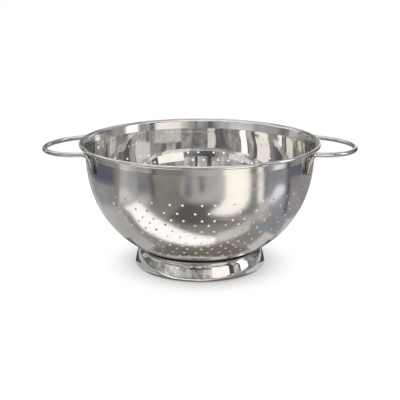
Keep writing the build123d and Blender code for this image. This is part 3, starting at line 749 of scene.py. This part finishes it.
# The studio: a pale floor, a soft sky and soft lamps. Polished steel shows the room it stands in, so
# it also sees plain cards that only it can see: some lie on the floor (tone, then corners), some
# stand round it and overhead in rings (elevation, and a tone for each azimuth). Azimuth 0 is on the
# camera's side and 90 at +X. A card of at least the brightTone is a window, and nearly even.
# The floor cards paint the floor's reflection: painted light on the lit white board in front of the bowl,
# and a painted shadow of the bowl under it.
studio = {
    "floorSize": 16.0, "floorLow": -0.0008, "floorColour": (0.93, 0.93, 0.93), "floorRough": 0.8,
    "skyStrength": 0.62, "clearRadius": (0.045, 0.105), "aim": (0.0, 0.0, 0.06),
    "cardLow": -0.0007, "cardStep": 0.000018, "cardReach": 0.9, "cardCentre": 0.06, "cardPoints": 9,
    "floorClutter": 0.16, "roomClutter": 0.45, "brightTone": 0.7, "brightClutter": 0.02,
    "clutterNoise": (7.0, 4.0, 0.6), "clutterSpan": (0.36, 0.64),
    "lamps": (
        {"place": (-0.9, -0.5, 1.3), "size": 0.9, "power": 9.0},
        {"place": (0.9, 0.1, 1.1), "size": 0.7, "power": 5.0},
        {"place": (0.0, 0.9, 1.4), "size": 1.0, "power": 7.0},
    ),
    "floorCards": (
        ((0.245, 0.225, 0.205), ((-0.9, -0.9), (0.9, -0.9), (0.9, 0.9), (-0.9, 0.9))),
        ((0.105, 0.115, 0.145), ((-0.9, -0.06), (-0.33, -0.06), (-0.30, 0.9), (-0.9, 0.9))),
        ((0.29, 0.29, 0.295), ((-0.33, -0.05), (-0.06, -0.05), (-0.06, 0.4), (-0.28, 0.4))),
        ((0.44, 0.43, 0.42), ((-0.19, -0.06), (-0.06, -0.06), (-0.06, 0.12), (-0.19, 0.12))),
        ((0.24, 0.25, 0.27), ((0.09, -0.10), (0.9, -0.42), (0.9, 0.9), (0.09, 0.9))),
        ((0.29, 0.275, 0.28), ((0.145, -0.03), (0.9, -0.03), (0.9, 0.9), (0.145, 0.9))),
        ((0.10, 0.115, 0.14), ((0.42, -0.03), (0.9, -0.06), (0.9, 0.9), (0.30, 0.9))),
        ((0.07, 0.08, 0.10), ((0.16, -0.032), (0.16, -0.012), (0.55, -0.015), (0.55, -0.055))),
        ((0.56, 0.56, 0.58), ((0.098, 0.01), (0.142, 0.01), (0.142, 0.4), (0.098, 0.4))),
        ((0.55, 0.53, 0.51), ((0.06, -0.05), (0.10, -0.05), (0.10, 0.01), (0.06, 0.01))),
        ((0.47, 0.46, 0.45), ((-0.62, -0.26), (-0.29, -0.145), (-0.29, -0.085), (-0.62, -0.15))),
        ((0.66, 0.65, 0.64), ((-0.29, -0.15), (-0.20, -0.148), (-0.19, -0.05), (-0.29, -0.085))),
        ((0.39, 0.385, 0.385), ((-0.56, -0.225), (-0.40, -0.182), (-0.274, -0.135), (-0.197, -0.145),
            (-0.258, -0.185), (-0.388, -0.260), (-0.52, -0.30))),
        ((0.18, 0.19, 0.215), ((-0.53, -0.31), (-0.388, -0.260), (-0.258, -0.190), (-0.215, -0.205),
            (-0.269, -0.290), (-0.44, -0.40))),
        ((0.46, 0.45, 0.43), ((-0.215, -0.150), (-0.214, -0.200), (-0.185, -0.212), (-0.150, -0.180),
            (-0.140, -0.150))),
        ((0.06, 0.065, 0.08), ((-0.50, -0.46), (-0.272, -0.300), (-0.182, -0.213), (-0.146, -0.187),
            (-0.148, -0.203), (-0.206, -0.266), (-0.330, -0.394), (-0.47, -0.50))),
        # Painted light: the lit white board in front of the bowl, as the steel shows it.
        ((1.15, 1.14, 1.12), ((-0.185, -0.146), (-0.06, -0.134), (-0.005, -0.118), (0.028, -0.107),
            (0.024, -0.093))),
        ((1.15, 1.14, 1.12), ((-0.185, -0.146), (0.024, -0.093), (-0.095, -0.080), (-0.150, -0.085),
            (-0.183, -0.068))),
        ((0.60, 0.57, 0.52), ((0.03, -0.119), (0.10, -0.118), (0.085, -0.092), (0.02, -0.094))),
        ((0.125, 0.115, 0.11), ((-0.045, -0.24), (0.03, -0.235), (0.055, -0.145), (-0.075, -0.15))),
        ((0.455, 0.435, 0.425), ((-0.062, -0.270), (-0.036, -0.243), (0.090, -0.235), (0.38, -0.9),
            (0.22, -0.9), (0.19, -0.61), (-0.14, -0.61), (-0.155, -0.56), (-0.128, -0.442),
            (-0.093, -0.313))),
        ((0.20, 0.205, 0.22), ((-0.065, -0.287), (-0.050, -0.270), (-0.032, -0.275), (-0.066, -0.574),
            (-0.119, -0.570), (-0.131, -0.543))),
        ((0.07, 0.075, 0.10), ((0.0, -0.33), (0.016, -0.33), (0.032, -0.445), (0.030, -0.575),
            (-0.006, -0.575), (-0.007, -0.445))),
        ((1.12, 1.06, 0.99), ((0.018, -0.188), (0.060, -0.167), (0.088, -0.161), (0.128, -0.168),
            (0.172, -0.197), (0.76, -0.74), (0.38, -0.9), (0.095, -0.26), (0.055, -0.212))),
        ((0.16, 0.165, 0.185), ((0.094, -0.163), (0.142, -0.166), (0.180, -0.186), (0.232, -0.233),
            (0.360, -0.342), (0.64, -0.60), (0.74, -0.52), (0.374, -0.300), (0.192, -0.167),
            (0.165, -0.143), (0.094, -0.145))),
        ((1.0, 0.95, 0.88), ((0.165, -0.147), (0.192, -0.169), (0.247, -0.212), (0.376, -0.303),
            (0.72, -0.50), (0.76, -0.44), (0.389, -0.254), (0.259, -0.180), (0.195, -0.141),
            (0.172, -0.136))),
        ((0.07, 0.075, 0.09), ((0.195, -0.146), (0.260, -0.181), (0.390, -0.254), (0.76, -0.44),
            (0.78, -0.37), (0.394, -0.222), (0.265, -0.162), (0.212, -0.140))),
        ((0.52, 0.515, 0.52), ((0.212, -0.107), (0.174, -0.105), (0.140, -0.107), (0.107, -0.106),
            (0.083, -0.104), (0.085, -0.120), (0.113, -0.126), (0.145, -0.129), (0.184, -0.131),
            (0.210, -0.132))),
        ((0.84, 0.86, 0.90), ((0.186, -0.113), (0.230, -0.118), (0.300, -0.119), (0.345, -0.100),
            (0.319, -0.052), (0.268, -0.056), (0.226, -0.075), (0.194, -0.093))),
        ((0.42, 0.40, 0.37), ((0.085, -0.150), (0.150, -0.105), (0.165, -0.085), (0.12, -0.080))),
        ((0.13, 0.145, 0.175), ((-0.080, 0.095), (-0.098, 0.18), (-0.111, 0.29), (-0.118, 0.37),
            (-0.122, 0.50), (-0.29, 0.47), (-0.26, 0.35), (-0.225, 0.26), (-0.17, 0.165), (-0.125, 0.09))),
        ((0.60, 0.60, 0.61), ((-0.125, 0.09), (-0.17, 0.165), (-0.225, 0.26), (-0.26, 0.35), (-0.29, 0.47),
            (-0.33, 0.45), (-0.30, 0.33), (-0.255, 0.235), (-0.20, 0.14), (-0.145, 0.075))),
        # Painted shadow: the bowl's shadow on the floor under its front, as the steel shows it.
        ((0.16, 0.14, 0.115), ((-0.038, -0.087), (0.038, -0.087), (0.056, -0.048), (0.05, 0.0),
            (-0.05, 0.0), (-0.056, -0.048))),
        ((0.06, 0.065, 0.08), ((-0.092, -0.01), (-0.060, -0.005), (-0.060, 0.14), (-0.092, 0.14))),
        ((0.06, 0.065, 0.08), ((0.062, -0.005), (0.088, -0.01), (0.088, 0.14), (0.062, 0.14))),
    ),
    "roomRings": (
        {"elevation": (-4, 10), "tones": {
            (-62, -35): (0.58, 0.57, 0.56), (-35, -15): (0.45, 0.44, 0.43), (-15, 5): (0.32, 0.31, 0.30),
            (5, 20): (0.60, 0.58, 0.56),
        }},
        {"elevation": (10, 18), "tones": {
            (-62, -48): (0.72, 0.71, 0.70), (-48, -36): (0.60, 0.59, 0.58),
            (-36, -18): (0.30, 0.30, 0.30), (-18, 4): (0.085, 0.085, 0.09), (4, 20): (0.19, 0.19, 0.20),
        }},
        {"elevation": (18, 34), "tones": {
            (-62, -50): (0.30, 0.30, 0.30), (-50, -28): (0.32, 0.31, 0.30),
            (-28, -14): (0.46, 0.455, 0.46), (-14, -9): (0.10, 0.10, 0.11), (-9, 3): (0.50, 0.49, 0.50),
            (3, 7): (0.07, 0.07, 0.08), (7, 20): (0.48, 0.47, 0.46),
        }},
        {"elevation": (-4, 21), "tones": {(20, 51): (1.12, 1.06, 0.99)}},
        {"elevation": (21, 34), "tones": {(20, 51): (0.33, 0.31, 0.29)}},
        {"elevation": (-4, 34), "tones": {
            (51, 60): (0.09, 0.09, 0.10), (60, 70): (0.46, 0.44, 0.42), (70, 74): (0.12, 0.12, 0.12),
            (74, 90): (1.5, 1.5, 1.52), (90, 110): (0.30, 0.295, 0.29), (110, 126): (0.17, 0.165, 0.16),
            (126, 147): (0.09, 0.09, 0.10), (147, 163): (0.86, 0.83, 0.79),
            (163, 183): (0.25, 0.245, 0.24), (183, 202): (0.165, 0.165, 0.17),
            (202, 221): (0.35, 0.34, 0.33),
        }},
        {"elevation": (-4, 18), "tones": {
            (221, 234): (0.13, 0.13, 0.13), (234, 248): (0.42, 0.41, 0.40),
            (248, 262): (0.16, 0.155, 0.15), (262, 282): (0.26, 0.255, 0.25),
        }},
        {"elevation": (18, 34), "clutter": 0.08, "tones": {(221, 282): (0.58, 0.56, 0.545)}},
        {"elevation": (-4, 34), "tones": {(282, 298): (0.38, 0.375, 0.37)}},
        {"elevation": (34, 62), "tones": {
            (-180, -155): (0.42, 0.42, 0.43), (-155, -100): (0.92, 0.92, 0.92),
            (-100, -77): (0.33, 0.33, 0.33), (-77, -54): (0.88, 0.87, 0.86),
            (-54, -43): (0.40, 0.39, 0.385), (-43, -30): (0.78, 0.77, 0.75),
            (-30, -22): (0.14, 0.145, 0.17), (-22, 25): (0.56, 0.55, 0.54), (25, 48): (0.62, 0.60, 0.57),
            (48, 57): (0.12, 0.12, 0.135), (57, 80): (0.36, 0.355, 0.35), (80, 96): (1.0, 1.0, 1.0),
            (96, 130): (0.36, 0.35, 0.34), (130, 180): (0.36, 0.36, 0.37),
        }},
        {"elevation": (62, 90), "tones": {(-180, 180): (0.98, 0.97, 0.98)}},
    ),
}


def stageSheet(name, points, quads, material):
    # One sheet of the studio, with its one material.
    mesh = bpy.data.meshes.new(name)
    mesh.from_pydata([tuple(point) for point in points], [], [tuple(quad) for quad in quads])
    sheet = bpy.data.objects.new(name, mesh)
    bpy.context.scene.collection.objects.link(sheet)
    mesh.materials.append(material)
    return sheet


def makeFloor(studio):
    # A flat square a hair below the foot: matt paper near the object, which holds its shadow, and
    # white to the camera further out. The share of white grows smoothly between the two clear radii.
    half = studio["floorSize"] / 2
    low = studio["floorLow"]
    material, nodes = newMaterial("paleFloor")
    paper = material.node_tree.nodes["Principled BSDF"]
    nodes.feed(paper, {"Base Color": (*studio["floorColour"], 1.0), "Roughness": studio["floorRough"]})
    reach = nodes.length(nodes.add("TexCoord").outputs["Object"])
    share = nodes.span(reach, 0.0, 1.0, *studio["clearRadius"], interpolation_type="SMOOTHSTEP")
    seen = nodes.math("MULTIPLY", share, nodes.add("LightPath").outputs["Is Camera Ray"])
    white = nodes.add("Emission").outputs[0]
    mixed = nodes.add("MixShader", {0: seen, 1: paper.outputs[0], 2: white}).outputs[0]
    nodes.feed(material.node_tree.nodes["Material Output"], {"Surface": mixed})
    corners = [(-half, -half, low), (half, -half, low), (half, half, low), (-half, half, low)]
    floor = stageSheet("floor", corners, [(0, 1, 2, 3)], material)
    floor.visible_glossy = False


def makeCard(studio, name, points, quads, tone, clutter):
    # A card seen in polished metal, and neither by the camera nor as a light. Its glow is its tone
    # times one plus or minus the clutter, after a soft noise, as a room's wall has things on it.
    material, nodes = newMaterial(name)
    noise = nodes.noise(nodes.add("TexCoord").outputs["Object"], *studio["clutterNoise"])
    level = nodes.span(noise, 1 - clutter, 1 + clutter, *studio["clutterSpan"])
    glow = nodes.add("Emission", {"Color": (*tone, 1.0), "Strength": level}).outputs[0]
    nodes.feed(material.node_tree.nodes["Material Output"], {"Surface": glow})
    card = stageSheet(name, points, quads, material)
    card.visible_camera = False
    card.visible_diffuse = False
    card.visible_shadow = False


def makeCards(studio):
    # A floor card is flat, each a hair above the last. A room card is a patch of a sphere: reach
    # times (sine of azimuth, -cosine of azimuth) times cosine of elevation, and sine of elevation,
    # round the card's centre on the axis.
    for index, (tone, corners) in enumerate(studio["floorCards"]):
        low = studio["cardLow"] + index * studio["cardStep"]
        points = [(x, y, low) for x, y in corners]
        clutter = studio["brightClutter"] if tone[0] >= studio["brightTone"] else studio["floorClutter"]
        makeCard(studio, "floorCard" + str(index), points, [range(len(points))], tone, clutter)
    count = studio["cardPoints"]
    cards = [(ring, *card) for ring in studio["roomRings"] for card in ring["tones"].items()]
    for index, (ring, ends, tone) in enumerate(cards):
        azimuth, elevation = np.radians(np.meshgrid(
            np.linspace(*ends, count), np.linspace(*ring["elevation"], count), indexing="ij"))
        level = np.cos(elevation)
        points = np.stack([np.sin(azimuth) * level, -np.cos(azimuth) * level, np.sin(elevation)], -1)
        points = points * studio["cardReach"] + (0, 0, studio["cardCentre"])
        even = tone[0] >= studio["brightTone"]
        clutter = studio["brightClutter"] if even else ring.get("clutter", studio["roomClutter"])
        points = points.reshape(-1, 3)
        makeCard(studio, "roomCard" + str(index), points, gridFaces(count, count), tone, clutter)


def makeSky(studio):
    # White to the camera and to polished metal, and a softer white as a light.
    world = bpy.data.worlds.new("sky")
    bpy.context.scene.world = world
    world.use_nodes = True
    nodes = Nodes(world.node_tree)
    path = nodes.add("LightPath").outputs
    seen = nodes.math("MAXIMUM", path["Is Camera Ray"], path["Is Glossy Ray"])
    seen = nodes.math("MAXIMUM", seen, path["Is Transmission Ray"])
    strength = nodes.span(seen, studio["skyStrength"], 1.0, 0.0, 1.0)
    nodes.feed(world.node_tree.nodes["Background"], {"Color": (1.0, 1.0, 1.0, 1.0), "Strength": strength})


def makeLamps(studio):
    # Square area lamps that face the middle of the bowl.
    for index, lamp in enumerate(studio["lamps"]):
        data = bpy.data.lights.new("lamp" + str(index), "AREA")
        data.size = lamp["size"]
        data.energy = lamp["power"]
        light = bpy.data.objects.new("lamp" + str(index), data)
        bpy.context.scene.collection.objects.link(light)
        light.location = lamp["place"]
        light.visible_glossy = False
        toAim = Vector(studio["aim"]) - Vector(lamp["place"])
        light.rotation_euler = toAim.to_track_quat("-Z", "Y").to_euler()


makeFloor(studio)
makeCards(studio)
makeSky(studio)
makeLamps(studio)
print("studio made")
